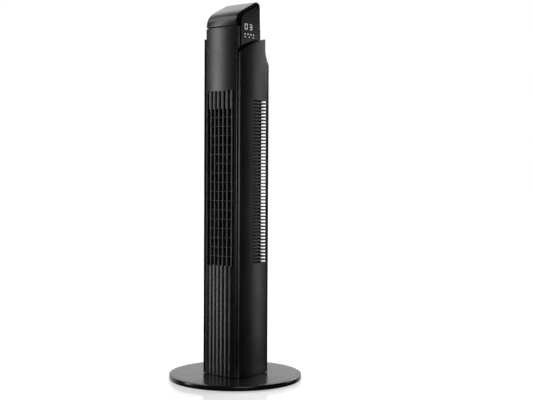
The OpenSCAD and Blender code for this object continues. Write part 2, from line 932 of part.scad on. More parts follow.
module segments(flags, grow) {
    w = digit_w / 2;
    h = digit_h / 2;
    ends = [
        [[-w, h], [w, h]], [[w, h], [w, 0]], [[w, 0], [w, -h]], [[w, -h], [-w, -h]],
        [[-w, -h], [-w, 0]], [[-w, 0], [-w, h]], [[-w, 0], [w, 0]]];
    for (i = [0 : 6])
        if (flags[i] == 1)
            let (u = (ends[i][1] - ends[i][0]) / norm(ends[i][1] - ends[i][0]))
            polygon(bar(ends[i][0] + u * (0.25 - grow), ends[i][1] - u * (0.25 - grow),
                seg_t + 2 * grow));
}

module lit_windows(grow, depth) {
    for (i = [0, 1])
        translate([0, digit_y[i] + digit_w / 2, digit_z + digit_h / 2])
            rotate([90, 0, 90]) linear_extrude(depth) segments(shown[i], grow);
}

// Status lights: an upper row of small squares and a lower row of bars
icon_w = 3.2;
icon_rows = [[digit_z - 11.5, [-25.5, -15, -4.5, 5.5], 2.4], [digit_z - 18, [-25.5, -10, 5.5], 1.8]];

module icon_windows(grow, depth) {
    for (row = icon_rows)
        for (y = row[1])
            translate([0, y - icon_w / 2 - grow, row[0] - row[2] / 2 - grow])
                cube([depth, icon_w + 2 * grow, row[2] + 2 * grow]);
}

module lit_digits() {
    color(lit)
    translate([lens_x - 0.2, 0, 0]) lit_windows(0, lens_t + 0.25);
}

module status_icons() {
    color(lit)
    translate([lens_x - 0.2, 0, 0]) icon_windows(0, lens_t + 0.25);
}

board_t = 1.6;

module display_board() {
    color(green)
    difference() {
        side_prism(rounded(lens_outline, 4, 8), lens_x - shell_wall - board_t, lens_x - 0.2);
        side_prism(rounded(lens_outline, 6, 8), lens_x - shell_wall + 0.4, lens_x);
    }
}

// ---------------------------------------------------------------- air duct

deck_hole = shaft_r + 6;
function duct_point(r, a) = [r * cos(a), wheel_y + r * sin(a)];
duct_w = grille_w / 2 - 2;
duct_front = front_y(duct_w, fin_back) + 1.5;

module deck(z, hole_r) {
    color(graphite)
    difference() {
        translate([0, 0, z]) linear_extrude(deck_t) column_plan(deck_inset);
        translate([0, wheel_y, z - past]) cylinder(r = hole_r, h = deck_t + 2 * past, $fn = round_fn);
        children();
    }
}

module lower_deck() {
    deck(lower_deck_z, deck_hole)
        translate([0, wheel_y, lower_deck_z])
            around(4, mount_pcd / 2, 45)
                union() {
                    translate([0, 0, -past]) cylinder(r = 2.1, h = deck_t, $fn = small_fn);
                    translate([0, 0, deck_t - motor_head_h])
                        cylinder(r = motor_head_r + 0.2, h = deck_t, $fn = small_fn);
                }
}

rubber_r = 11;
module upper_deck() { deck(upper_deck_z, rubber_r); }

duct_z = lower_deck_z + deck_t;
duct_h = upper_deck_z - duct_z;
module scroll_wall() {
    r0 = wheel_d / 2 + 4;
    growth = 15;
    path = concat(
        [for (a = [80 : 10 : 215]) duct_point(r0 + growth * pow((a - 80) / 135, 1.5), a)],
        [[-duct_w, duct_front]]);
    color(graphite)
    translate([0, 0, duct_z]) linear_extrude(duct_h) polygon(strip(path, duct_wall));
}

baffle_x = column_w / 2 - shell_wall - duct_wall / 2 - 1.3;
baffle_y = 25;
module vortex_wall() {
    r0 = wheel_d / 2 + 4;
    path = [[duct_w, duct_front], duct_point(r0 + 1.5, -48), duct_point(r0, -36),
        duct_point(r0 + 3, -22), duct_point(r0 + 7, -6), [duct_w + 2.5, 14], [duct_w + 2.5, baffle_y],
        [baffle_x + 1, baffle_y]];
    color(graphite)
    translate([0, 0, duct_z]) linear_extrude(duct_h) {
        polygon(strip(path, duct_wall));
        // blind baffle behind the front part of the vents
        polygon(strip([[duct_w + 2.5, 14], [baffle_x, 14]], duct_wall));
        polygon(strip([[baffle_x - 0.4, side_slot_y0 - 3], [baffle_x, 4], [baffle_x, 17]], duct_wall));
    }
}

module blade() {
    // shallow forward-curved blade between two arcs
    arc_r = 7.5;
    rotate(-24)
        translate([wheel_d / 2 - blade_depth / 2 - 0.6, 0])
            intersection() {
                translate([0, -arc_r + 1.6])
                    difference() {
                        circle(r = arc_r, $fn = small_fn);
                        circle(r = arc_r - blade_t, $fn = small_fn);
                    }
                translate([-blade_depth / 2, -1]) square([blade_depth - 1, 6]);
            }
}

wheel_in = wheel_d / 2 - blade_depth - 1.5;
module blower_wheel() {
    gap = (wheel_h - ring_t) / (wheel_rings - 1);
    color(graphite)
    translate([0, wheel_y, wheel_z])
    union() {
        for (i = [0 : wheel_rings - 1])
            translate([0, 0, i * gap])
                if (i == 0 || i == wheel_rings - 1)
                    ring(wheel_d / 2, shaft_r, ring_t, fine);
                else
                    ring(wheel_d / 2, wheel_in, ring_t, fine);
        translate([0, 0, ring_t / 2])
            linear_extrude(wheel_h - ring_t)
                for (k = [0 : blade_count - 1]) rotate(360 * k / blade_count) blade();
        // hubs that grip the shaft and the top journal
        translate([0, 0, ring_t]) ring(hub_r, shaft_r, hub_h);
        translate([0, 0, wheel_h - ring_t - hub_h]) ring(hub_r, shaft_r, hub_h);
    }
}

bush_z = upper_deck_z - 2;
module top_journal() {
    color(steel)
    translate([0, wheel_y, wheel_z + wheel_h - ring_t - hub_h])
        cylinder(r = shaft_r, h = bush_z + bush_h + 2 - (wheel_z + wheel_h - ring_t - hub_h),
            $fn = round_fn);
}

module bearing_bush() {
    color(amber)
    translate([0, wheel_y, bush_z]) ring(bush_r, shaft_r + run_fit, bush_h);
}

module bearing_rubber() {
    color(gloss)
    translate([0, wheel_y, upper_deck_z])
    difference() {
        union() {
            cylinder(r = rubber_r, h = deck_t, $fn = round_fn);
            translate([0, 0, deck_t]) cylinder(r = rubber_r + 2.5, h = 3, $fn = round_fn);
        }
        translate([0, 0, -past]) cylinder(r = bush_r, h = 20, $fn = round_fn);
    }
}

// ---------------------------------------------------------------- motor

shell_r = motor_d / 2;
seat_r = bush_r + 1;

module motor_shell(base_z, up) {
    half = motor_h / 2;
    translate([0, wheel_y, base_z])
    mirror([0, 0, up ? 0 : 1])
    difference() {
        union() {
            cylinder(r = shell_r, h = half, $fn = fine);
            translate([0, 0, half]) cylinder(r = seat_r + 2, h = 4, $fn = round_fn);
            children();
        }
        translate([0, 0, -past]) cylinder(r = shell_r - motor_wall, h = half - motor_wall + past, $fn = fine);
        translate([0, 0, half - motor_wall - past])
            cylinder(r = bush_r, h = motor_wall + 4 + past - 1.5, $fn = round_fn);
        translate([0, 0, half]) cylinder(r = shaft_r + 1, h = 10, $fn = round_fn);
        around(6, shell_r * 0.62)
            translate([0, 0, half - motor_wall - past])
                cylinder(r = 4, h = motor_wall + 2 * past, $fn = small_fn);
    }
}

module motor_shell_lower() {
    color(steel) motor_shell(motor_z + motor_h / 2, false);
}

module motor_shell_upper() {
    ear = mount_pcd / 2;
    color(steel)
    difference() {
        motor_shell(motor_z + motor_h / 2, true)
            translate([0, 0, motor_h / 2 - motor_wall])
                around(4, 0, 45)
                    union() {
                        translate([shell_r - 4, -6, 0]) cube([ear - shell_r + 4, 12, motor_wall]);
                        translate([ear, 0, 0]) cylinder(r = 6, h = motor_wall, $fn = small_fn);
                    }
        translate([0, wheel_y, motor_top - motor_wall - past])
            around(4, ear, 45) cylinder(r = 3, h = motor_wall + 2 * past, $fn = small_fn);
    }
}

module motor_stator() {
    core_h = 22;
    color(amber)
    translate([0, wheel_y, motor_z + motor_h / 2 - core_h / 2])
        ring(shell_r - motor_wall - 0.1, rotor_r + air_gap, core_h, fine);
}

motor_bush_l = 5.3;
module motor_bushes() {
    color(amber) {
        translate([0, wheel_y, motor_top - motor_wall - 3])
            ring(bush_r - 0.05, shaft_r + run_fit, motor_bush_l);
        translate([0, wheel_y, motor_z - 2.3])
            ring(bush_r - 0.05, shaft_r + run_fit, motor_bush_l);
    }
}

module motor_mounts() {
    color(gloss)
    translate([0, wheel_y, motor_top])
        around(4, mount_pcd / 2, 45) ring(5, 2.1, motor_gap, small_fn);
}

module motor_screws() {
    color(steel)
    translate([0, wheel_y, lower_deck_z + deck_t - motor_head_h])
        around(4, mount_pcd / 2, 45)
            screw(motor_head_r, motor_head_h - 0.1, 1.9,
                deck_t - motor_head_h + motor_gap + motor_wall + 2);
}

module motor_shaft() {
    color(steel)
    translate([0, wheel_y, motor_z - 3])
        cylinder(r = shaft_r, h = wheel_z + ring_t + hub_h - motor_z + 3, $fn = round_fn);
}

module motor_rotor() {
    color(graphite)
    translate([0, wheel_y, motor_z + motor_h / 2 - 13]) ring(rotor_r, shaft_r, 26, fine);
}

// ---------------------------------------------------------------- electronics

board_y = rear_reach - 14;
board_z = column_z + 62;
module control_board() {
    color(green)
    difference() {
        translate([-32, board_y, board_z]) cube([64, board_t, 90]);
        for (x = [-28, 28])
            for (z = [board_z + 4, board_z + 86])
                translate([x, board_y - past, z]) rotate([-90, 0, 0])
                    cylinder(r = 1.6, h = board_t + 2 * past, $fn = small_fn);
    }
}

// Boxes on the board: low corner x, height above the board's foot, width, depth, height
board_boxes = [[-24, 12, 20, 14, 26], [4, 14, 18, 9, 12], [2, 34, 22, 3, 10]];
// Electrolytic cans in a row: count, pitch, height above the board's foot
board_cans = [4, 14, 56];
board_can_r = 4;
board_can_l = 12;
module board_parts() {
    row = (board_cans[0] - 1) * board_cans[1] / 2;
    color(graphite) {
        for (b = board_boxes)
            translate([b[0], board_y - b[3], board_z + b[1]]) cube([b[2], b[3], b[4]]);
        for (i = [0 : board_cans[0] - 1])
            translate([board_cans[1] * i - row - 1, board_y, board_z + board_cans[2]])
                rotate([90, 0, 0]) cylinder(r = board_can_r, h = board_can_l, $fn = small_fn);
    }
}

capacitor_w = 48;
capacitor_t = 14;
capacitor_h = 34;
capacitor_y = -20;
capacitor_z = column_z + 60;
capacitor_corner = 5;
module run_capacitor() {
    x = capacitor_w / 2;
    color(lit)
    translate([0, capacitor_y, capacitor_z])
        linear_extrude(capacitor_h)
            polygon(rounded([
                [-x, 0, capacitor_corner], [x, 0, capacitor_corner],
                [x, capacitor_t, capacitor_corner], [-x, capacitor_t, capacitor_corner]], 0, 6));
}

leg_x = 21;
module osc_bracket() {
    leg_z = hat_z + hat_t;
    color(steel)
    difference() {
        union() {
            translate([-leg_x - 3, pinion_y - 9, bracket_z])
                cube([2 * leg_x + 6, 16, bracket_t]);
            for (sx = [-1, 1])
                translate([sx > 0 ? leg_x + 1 : -leg_x - 3, pinion_y - 2, leg_z])
                    cube([2, 9, bracket_z - leg_z + bracket_t]);
        }
        translate([0, pinion_y, bracket_z - past])
            cylinder(r = osc_shaft_r + 2, h = bracket_t + 2 * past, $fn = small_fn);
        for (sx = [-1, 1])
            translate([sx * 17.5, pinion_y, bracket_z - past])
                cylinder(r = 1.4, h = bracket_t + 2 * past, $fn = small_fn);
    }
}

module osc_motor() {
    color(steel)
    difference() {
        translate([0, pinion_y, bracket_z + bracket_t])
            union() {
                cylinder(r = osc_motor_r, h = osc_motor_h, $fn = round_fn);
                for (sx = [-1, 1])
                    translate([sx > 0 ? osc_motor_r - 3 : -osc_motor_r - 6, -3.5, 0])
                        cube([9, 7, 1]);
            }
        for (sx = [-1, 1])
            translate([sx * 17.5, pinion_y, bracket_z + bracket_t - past])
                cylinder(r = 1.5, h = 1 + 2 * past, $fn = small_fn);
        translate([0, pinion_y, bracket_z + bracket_t - past])
            cylinder(r = osc_shaft_r + run_fit, h = 8, $fn = small_fn);
    }
}

module osc_screws() {
    color(steel)
    for (sx = [-1, 1])
        translate([sx * 17.5, pinion_y, bracket_z + bracket_t + 1])
            screw(2.4, 1.6, 1.3, 1 + bracket_t + 1);
}

module osc_pinion() {
    color(nylon)
    translate([0, pinion_y, 0])
    union() {
        // a gap of the pinion faces a tooth of the fixed gear
        translate([0, 0, gear_z + 0.2])
            rotate(-90 + 180 / pinion_teeth)
                linear_extrude(gear_h - 0.4)
                    polygon(polar(gear_outline(gear_m, pinion_teeth, mesh_play / 2)));
        translate([0, 0, gear_z + gear_h - 0.2])
            cylinder(r = osc_shaft_r, h = bracket_z + bracket_t + 6 - gear_z - gear_h, $fn = small_fn);
    }
}

base_disc();
base_weight();
base_cover();
rubber_feet();
base_screws();
swivel_hub();
hub_screws();
swivel_washer();
retainer_ring();
fixed_gear();
circlip();
foot_plate();
foot_screws();
front_panel();
outlet_grille();
side_panel_right();
side_panel_left();
rear_cover();
rear_screws();
handle_recess();
head_cap();
display_lens();
display_board();
lit_digits();
status_icons();
lower_deck();
upper_deck();
scroll_wall();
vortex_wall();
bearing_rubber();
bearing_bush();
motor_shell_lower();
motor_shell_upper();
motor_stator();
motor_bushes();
motor_mounts();
motor_screws();
control_board();
board_parts();
run_capacitor();
osc_bracket();
osc_motor();
osc_screws();
cord_inlet();
blower_wheel();
motor_shaft();
motor_rotor();
top_journal();
osc_pinion();
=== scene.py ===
"""Looks of the tower fan: detailed shells, materials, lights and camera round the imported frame."""
import math

import bmesh
import bpy
from mathutils import Matrix, Vector


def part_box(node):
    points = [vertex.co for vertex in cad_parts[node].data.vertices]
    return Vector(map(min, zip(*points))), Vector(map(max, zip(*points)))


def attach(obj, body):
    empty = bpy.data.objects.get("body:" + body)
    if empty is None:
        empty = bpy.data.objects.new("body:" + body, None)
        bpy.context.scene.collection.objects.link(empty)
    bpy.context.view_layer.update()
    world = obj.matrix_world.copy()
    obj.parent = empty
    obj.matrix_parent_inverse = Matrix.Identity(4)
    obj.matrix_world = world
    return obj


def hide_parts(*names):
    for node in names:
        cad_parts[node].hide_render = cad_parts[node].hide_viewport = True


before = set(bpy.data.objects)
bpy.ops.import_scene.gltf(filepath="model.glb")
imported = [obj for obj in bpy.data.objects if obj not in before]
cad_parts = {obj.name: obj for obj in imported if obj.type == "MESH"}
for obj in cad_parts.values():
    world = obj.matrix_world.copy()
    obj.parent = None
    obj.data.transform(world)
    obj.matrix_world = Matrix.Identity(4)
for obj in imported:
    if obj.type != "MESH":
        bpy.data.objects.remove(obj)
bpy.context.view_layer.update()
MM = 0.001
# Points closer than this are one point
SAME = 1e-6

# ------------------------------------------------------------ sizes, in metres

PANEL_LOW, PANEL_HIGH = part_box("front_panel")
HEAD_LOW, HEAD_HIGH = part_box("head_cap")
SIDE_LOW, SIDE_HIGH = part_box("side_panel_right")
LENS_LOW, LENS_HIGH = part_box("display_lens")
BASE_LOW, BASE_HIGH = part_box("base_disc")

WALL = 2.5 * MM
SIDE_WALL = 2.2 * MM
HEAD_WALL = 1.8 * MM
SEAM_GAP = 0.9 * MM
# The column's bulged faces: radii and centres of the arcs in plan
FRONT_R = 320 * MM
FRONT_CY = PANEL_LOW.y + FRONT_R
SIDE_R = 340 * MM
SIDE_CX = SIDE_HIGH.x - SIDE_R
FRONT_HALF = 49 * MM
RETURN_Y = -46.5 * MM
SIDE_X = SIDE_LOW.x
SIDE_FRONT_Y = SIDE_LOW.y
COLUMN_Z = PANEL_LOW.z
SEAM_Z = PANEL_HIGH.z
CROWN_H = 150 * MM
GRILLE_TOP = SEAM_Z - CROWN_H
GRILLE_BOTTOM = GRILLE_TOP - 414 * MM
GRILLE_HALF = 41.5 * MM
FIN_PITCH = 13.1 * MM
FIN_COUNT = 6
FIN_X = [(i - (FIN_COUNT - 1) / 2) * FIN_PITCH for i in range(FIN_COUNT)]
RIB_DEPTH = 3.5 * MM
RIB_CREST_R = 34 * MM
RIB_FLAT = 4.5 * MM

SLOT_H = 5 * MM
SLOT_PITCH = 8 * MM
SLOT_COUNT = 49
SLOT_Z = GRILLE_BOTTOM + 5 * MM
SLOT_Y = (-9 * MM, 46.4 * MM)

SIDE_TOP_FRONT = SEAM_Z - 60 * MM
SIDE_TOP_REAR = SEAM_Z - 22 * MM
SIDE_TOP_PLAIN = SEAM_Z - 24 * MM
NECK_Y = 38 * MM
REAR_REACH = 57.5 * MM
SHOULDER_TOP = SIDE_TOP_REAR - 24 * MM
SHOULDER_BOTTOM = SHOULDER_TOP - 60 * MM

HEAD_SLOPE = 0.48
HEAD_REAR_R = 15 * MM
HEAD_NOSE_REACH = 38 * MM
HEAD_NOSE_PULL = 0.75
HEAD_CORNER_R = 2 * MM
# Rim of the head's sides: (in from the side, in from the outline), a bevel and a small roll
HEAD_RIM = [(0, 5.5 * MM), (1.75 * MM, 0.9 * MM), (2.6 * MM, 0.3 * MM), (3.8 * MM, 0)]


# ------------------------------------------------------------ small helpers

def mix(a, b, t):
    return a + (b - a) * t


def front_y(x):
    """Y of the front arc at x."""
    return FRONT_CY - math.sqrt(FRONT_R ** 2 - x * x)


def side_arc_x(y):
    """X of the right side's arc at y."""
    return SIDE_CX + math.sqrt(SIDE_R ** 2 - y * y)


def cubic(a, b, c, d, t):
    """Point at t on the curve from a, drawn by b and c, to d."""
    k = [(1 - t) ** 3, 3 * (1 - t) ** 2 * t, 3 * (1 - t) * t * t, t ** 3]
    return tuple(k[0] * a[i] + k[1] * b[i] + k[2] * c[i] + k[3] * d[i] for i in (0, 1))


def mesh_object(name, verts, faces, angle=35):
    """Mesh with outward normals, shaded smooth up to an angle in degrees."""
    mesh = bpy.data.meshes.new(name)
    mesh.from_pydata([tuple(v) for v in verts], [], faces)
    bm = bmesh.new()
    bm.from_mesh(mesh)
    bmesh.ops.remove_doubles(bm, verts=bm.verts, dist=SAME)
    bmesh.ops.dissolve_degenerate(bm, dist=SAME, edges=bm.edges)
    bmesh.ops.recalc_face_normals(bm, faces=bm.faces)
    bm.to_mesh(mesh)
    bm.free()
    piece = bpy.data.objects.new(name, mesh)
    bpy.context.scene.collection.objects.link(piece)
    shade(piece, angle)
    return piece


def shade(piece, angle):
    """Smooth shading, broken where faces meet at more than an angle in degrees."""
    bpy.context.view_layer.objects.active = piece
    for other in bpy.context.selected_objects:
        other.select_set(False)
    piece.select_set(True)
    bpy.ops.object.shade_smooth_by_angle(angle=math.radians(angle))
    piece.select_set(False)


def even_shading(piece):
    normals = piece.modifiers.new("even_normals", "WEIGHTED_NORMAL")
    normals.keep_sharp = True


def soften(piece, width):
    """Rounds the sharp edges and evens the shading of the flats."""
    bevel = piece.modifiers.new("soft_edges", "BEVEL")
    bevel.width = width
    bevel.segments = 2
    bevel.limit_method = "ANGLE"
    bevel.angle_limit = math.radians(40)
    bevel.miter_outer = "MITER_ARC"
    even_shading(piece)


def thicken(piece, depth):
    """Gives a sheet its wall, inwards from the face that shows."""
    solid = piece.modifiers.new("wall", "SOLIDIFY")
    solid.thickness = depth
    solid.offset = -1
    solid.use_even_offset = True


def grid(columns, rows, point, keep=lambda i, j: True):
    """Quads over a grid: point(i, j) gives a vertex and keep(i, j) says which cells exist."""
    verts = [point(i, j) for j in range(rows) for i in range(columns)]
    faces = []
    for j in range(rows - 1):
        for i in range(columns - 1):
            if keep(i, j):
                a = j * columns + i
                faces.append((a, a + 1, a + columns + 1, a + columns))
    return verts, faces


def drop_loose(piece):
    """Deletes the points that no face uses."""
    bm = bmesh.new()
    bm.from_mesh(piece.data)
    loose = [v for v in bm.verts if not v.link_faces]
    bmesh.ops.delete(bm, geom=loose, context="VERTS")
    bm.to_mesh(piece.data)
    bm.free()


def lathe(profile, count):
    """Surface of revolution of (radius, z) points about the Z axis."""
    verts = []
    faces = []
    for k in range(count):
        a = 2 * math.pi * k / count
        for r, z in profile:
            verts.append((r * math.cos(a), r * math.sin(a), z))
    n = len(profile)
    for k in range(count):
        for i in range(n - 1):
            a, b = k * n + i, ((k + 1) % count) * n + i
            faces.append((a, b, b + 1, a + 1))
    return verts, faces


def rounded_box(x0, x1, y0, y1, z0, z1, r):
    """Upright bar with rounded vertical edges."""
    steps = 3
    outline = []
    corners = ((x1 - r, y0 + r, -90), (x1 - r, y1 - r, 0),
               (x0 + r, y1 - r, 90), (x0 + r, y0 + r, 180))
    for cx, cy, start in corners:
        for k in range(steps + 1):
            a = math.radians(start + 90 * k / steps)
            outline.append((cx + r * math.cos(a), cy + r * math.sin(a)))
    n = len(outline)
    verts = [(x, y, z) for z in (z0, z1) for x, y in outline]
    faces = [(i, (i + 1) % n, n + (i + 1) % n, n + i) for i in range(n)]
    faces.append(tuple(reversed(range(n))))
    faces.append(tuple(range(n, 2 * n)))
    return verts, faces


def joined(parts):
    """Several (verts, faces) pairs as one."""
    verts, faces = [], []
    for v, f in parts:
        base = len(verts)
        verts += list(v)
        faces += [tuple(base + i for i in face) for face in f]
    return verts, faces


def place(piece, body, slot, material, *nodes):
    """The piece rides on a body, stands for its CAD nodes and takes a material."""
    piece.data.materials.clear()
    piece.data.materials.append(material)
    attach(piece, body)
    if nodes:
        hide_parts(*nodes)


# ------------------------------------------------------------ materials

def shader(name):
    material = bpy.data.materials.new(name)
    material.use_nodes = True
    tree = material.node_tree
    return material, tree, tree.nodes["Principled BSDF"]


def noise(tree, scale, detail=4, roughness=0.5):
    coords = tree.nodes.new("ShaderNodeTexCoord")
    texture = tree.nodes.new("ShaderNodeTexNoise")
    texture.inputs["Scale"].default_value = scale
    texture.inputs["Detail"].default_value = detail
    texture.inputs["Roughness"].default_value = roughness
    tree.links.new(coords.outputs["Object"], texture.inputs["Vector"])
    return texture


def ramp(tree, source, low, high):
    """Maps the middle of a noise's 0 to 1 on to the range low to high."""
    node = tree.nodes.new("ShaderNodeMapRange")
    node.inputs["From Min"].default_value = 0.35
    node.inputs["From Max"].default_value = 0.65
    node.inputs["To Min"].default_value = low
    node.inputs["To Max"].default_value = high
    tree.links.new(source, node.inputs["Value"])
    return node.outputs["Result"]


def tint(tree, source, dark, light):
    """Colour that goes from dark to light with a 0 to 1 value."""
    node = tree.nodes.new("ShaderNodeMix")
    node.data_type = "RGBA"
    node.inputs["A"].default_value = (*dark, 1)
    node.inputs["B"].default_value = (*light, 1)
    tree.links.new(source, node.inputs["Factor"])
    return node.outputs["Result"]


def bump(tree, source, bsdf, distance):
    """Relief of a height in metres."""
    node = tree.nodes.new("ShaderNodeBump")
    node.inputs["Distance"].default_value = distance
    node.inputs["Strength"].default_value = 1.0
    tree.links.new(source, node.inputs["Height"])
    tree.links.new(node.outputs["Normal"], bsdf.inputs["Normal"])


def plastic(name, dark, light, rough, grain=2200, depth=0.02 * MM):
    """Moulded plastic: fine spark-eroded grain, slow flow marks in colour and gloss."""
    material, tree, bsdf = shader(name)
    flow = noise(tree, 14, 3)
    fine = noise(tree, grain, 2, 0.6)
    tree.links.new(tint(tree, flow.outputs["Fac"], dark, light), bsdf.inputs["Base Color"])
    tree.links.new(ramp(tree, flow.outputs["Fac"], *rough), bsdf.inputs["Roughness"])
    bump(tree, fine.outputs["Fac"], bsdf, depth)
    bsdf.inputs["IOR"].default_value = 1.5
    return material


def metal(name, dark, light, rough, stretch=(1, 1, 12)):
    """Bare metal with fine drawn lines."""
    material, tree, bsdf = shader(name)
    coords = tree.nodes.new("ShaderNodeTexCoord")
    mapping = tree.nodes.new("ShaderNodeMapping")
    mapping.inputs["Scale"].default_value = stretch
    lines = tree.nodes.new("ShaderNodeTexNoise")
    lines.inputs["Scale"].default_value = 260
    lines.inputs["Detail"].default_value = 5
    tree.links.new(coords.outputs["Object"], mapping.inputs["Vector"])
    tree.links.new(mapping.outputs["Vector"], lines.inputs["Vector"])
    tree.links.new(tint(tree, lines.outputs["Fac"], dark, light), bsdf.inputs["Base Color"])
    tree.links.new(ramp(tree, lines.outputs["Fac"], *rough), bsdf.inputs["Roughness"])
    bump(tree, lines.outputs["Fac"], bsdf, 0.01 * MM)
    bsdf.inputs["Metallic"].default_value = 1.0
    return material


def rubber(name, dark, light):
    """Dull rubber with dust and fine pores."""
    material, tree, bsdf = shader(name)
    dust = noise(tree, 60, 5)
    pores = noise(tree, 1500, 2)
    tree.links.new(tint(tree, dust.outputs["Fac"], dark, light), bsdf.inputs["Base Color"])
    tree.links.new(ramp(tree, dust.outputs["Fac"], 0.75, 0.9), bsdf.inputs["Roughness"])
    bump(tree, pores.outputs["Fac"], bsdf, 0.04 * MM)
    return material


def lit_window(name):
    """White light window whose glow is slightly mottled."""
    material, tree, bsdf = shader(name)
    grain = noise(tree, 900, 2)
    glow = tint(tree, grain.outputs["Fac"], (0.78, 0.86, 1.0), (1.0, 1.0, 1.0))
    tree.links.new(glow, bsdf.inputs["Base Color"])
    tree.links.new(glow, bsdf.inputs["Emission Color"])
    tree.links.new(ramp(tree, grain.outputs["Fac"], 0.25, 0.35), bsdf.inputs["Roughness"])
    bsdf.inputs["Emission Strength"].default_value = 0.75
    bump(tree, grain.outputs["Fac"], bsdf, 0.01 * MM)
    return material


def circuit(name):
    """Green solder mask with faint tracks under it."""
    material, tree, bsdf = shader(name)
    coords = tree.nodes.new("ShaderNodeTexCoord")
    tracks = tree.nodes.new("ShaderNodeTexBrick")
    tracks.inputs["Scale"].default_value = 90
    tracks.inputs["Mortar Size"].default_value = 0.05
    tracks.inputs["Color1"].default_value = (0.02, 0.12, 0.06, 1)
    tracks.inputs["Color2"].default_value = (0.025, 0.15, 0.07, 1)
    tracks.inputs["Mortar"].default_value = (0.06, 0.25, 0.12, 1)
    tree.links.new(coords.outputs["Object"], tracks.inputs["Vector"])
    tree.links.new(tracks.outputs["Color"], bsdf.inputs["Base Color"])
    tree.links.new(ramp(tree, tracks.outputs["Fac"], 0.3, 0.45), bsdf.inputs["Roughness"])
    bump(tree, tracks.outputs["Fac"], bsdf, 0.03 * MM)
    return material


SATIN_BLACK = plastic("satin_black", (0.004, 0.004, 0.0045), (0.006, 0.006, 0.0065), (0.27, 0.31))
FRONT_BLACK = plastic("front_black", (0.004, 0.004, 0.0045), (0.006, 0.006, 0.0065), (0.25, 0.28))
GRILLE_BLACK = plastic("grille_black", (0.008, 0.008, 0.0085), (0.011, 0.011, 0.0115), (0.34, 0.4))
HEAD_BLACK = plastic("head_black", (0.005, 0.005, 0.0055), (0.007, 0.007, 0.0075), (0.26, 0.29),
                     grain=900, depth=0.006 * MM)
CHEEK_BLACK = plastic("cheek_gloss", (0.002, 0.002, 0.0022), (0.003, 0.003, 0.0032), (0.05, 0.07),
                      grain=400, depth=0.002 * MM)
LENS_BLACK = plastic("lens_black", (0.004, 0.004, 0.0045), (0.005, 0.005, 0.0055), (0.19, 0.22),
                     grain=900, depth=0.004 * MM)
BASE_BLACK = plastic("base_black", (0.006, 0.006, 0.0065), (0.009, 0.009, 0.0095), (0.2, 0.25),
                     grain=1800, depth=0.01 * MM)
COVER_BLACK = plastic("cover_black", (0.012, 0.012, 0.012), (0.02, 0.02, 0.02), (0.45, 0.55))
DUCT_BLACK = plastic("duct_black", (0.005, 0.005, 0.005), (0.009, 0.009, 0.009), (0.5, 0.6))
PART_BLACK = plastic("part_black", (0.02, 0.02, 0.02), (0.03, 0.03, 0.03), (0.4, 0.5))
NYLON = plastic("nylon_white", (0.62, 0.6, 0.55), (0.72, 0.7, 0.66), (0.38, 0.46))
RUBBER = rubber("rubber_black", (0.012, 0.012, 0.012), (0.03, 0.03, 0.03))
STEEL = metal("steel_plain", (0.42, 0.43, 0.45), (0.6, 0.61, 0.63), (0.25, 0.4))
SCREW_STEEL = metal("screw_steel", (0.05, 0.05, 0.055), (0.09, 0.09, 0.095), (0.3, 0.45))
ZINC = metal("zinc_shell", (0.45, 0.46, 0.48), (0.58, 0.59, 0.61), (0.35, 0.5), (1, 1, 1))
BRONZE = metal("bronze_plain", (0.45, 0.27, 0.12), (0.6, 0.38, 0.18), (0.3, 0.42))
LIT_WHITE = lit_window("lit_white")
GREEN = circuit("circuit_green")

NODE_MATERIALS = {
    "base_weight": STEEL, "base_cover": COVER_BLACK, "rubber_feet": RUBBER,
    "base_screws": STEEL, "swivel_hub": NYLON, "hub_screws": STEEL, "swivel_washer": NYLON,
    "retainer_ring": STEEL, "fixed_gear": NYLON, "circlip": STEEL, "foot_plate": SATIN_BLACK,
    "foot_screws": STEEL, "rear_cover": SATIN_BLACK, "rear_screws": SCREW_STEEL,
    "handle_recess": SATIN_BLACK, "display_lens": LENS_BLACK, "display_board": GREEN,
    "lit_digits": LIT_WHITE, "status_icons": LIT_WHITE, "lower_deck": DUCT_BLACK,
    "upper_deck": DUCT_BLACK, "scroll_wall": DUCT_BLACK, "vortex_wall": DUCT_BLACK,
    "bearing_rubber": RUBBER, "bearing_bush": BRONZE, "motor_shell_lower": ZINC,
    "motor_shell_upper": ZINC, "motor_stator": BRONZE, "motor_bushes": BRONZE,
    "motor_mounts": RUBBER, "motor_screws": STEEL, "control_board": GREEN,
    "board_parts": PART_BLACK, "run_capacitor": NYLON, "osc_bracket": STEEL,
    "osc_motor": ZINC, "osc_screws": STEEL, "cord_inlet": COVER_BLACK,
    "blower_wheel": DUCT_BLACK, "motor_shaft": STEEL, "motor_rotor": ZINC,
    "top_journal": STEEL, "osc_pinion": NYLON, "base_disc": BASE_BLACK,
    "front_panel": FRONT_BLACK, "outlet_grille": GRILLE_BLACK, "side_panel_right": SATIN_BLACK,
    "side_panel_left": SATIN_BLACK, "head_cap": HEAD_BLACK,
}


def dress_nodes():
    """Materials for the CAD nodes, and rounded edges on those that show at the back."""
    for name, material in NODE_MATERIALS.items():
        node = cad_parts[name]
        node.data.materials.clear()
        node.data.materials.append(material)
        shade(node, 30)
    for name in ("rear_cover", "handle_recess", "cord_inlet"):
        soften(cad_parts[name], 0.3 * MM)


# ------------------------------------------------------------ base

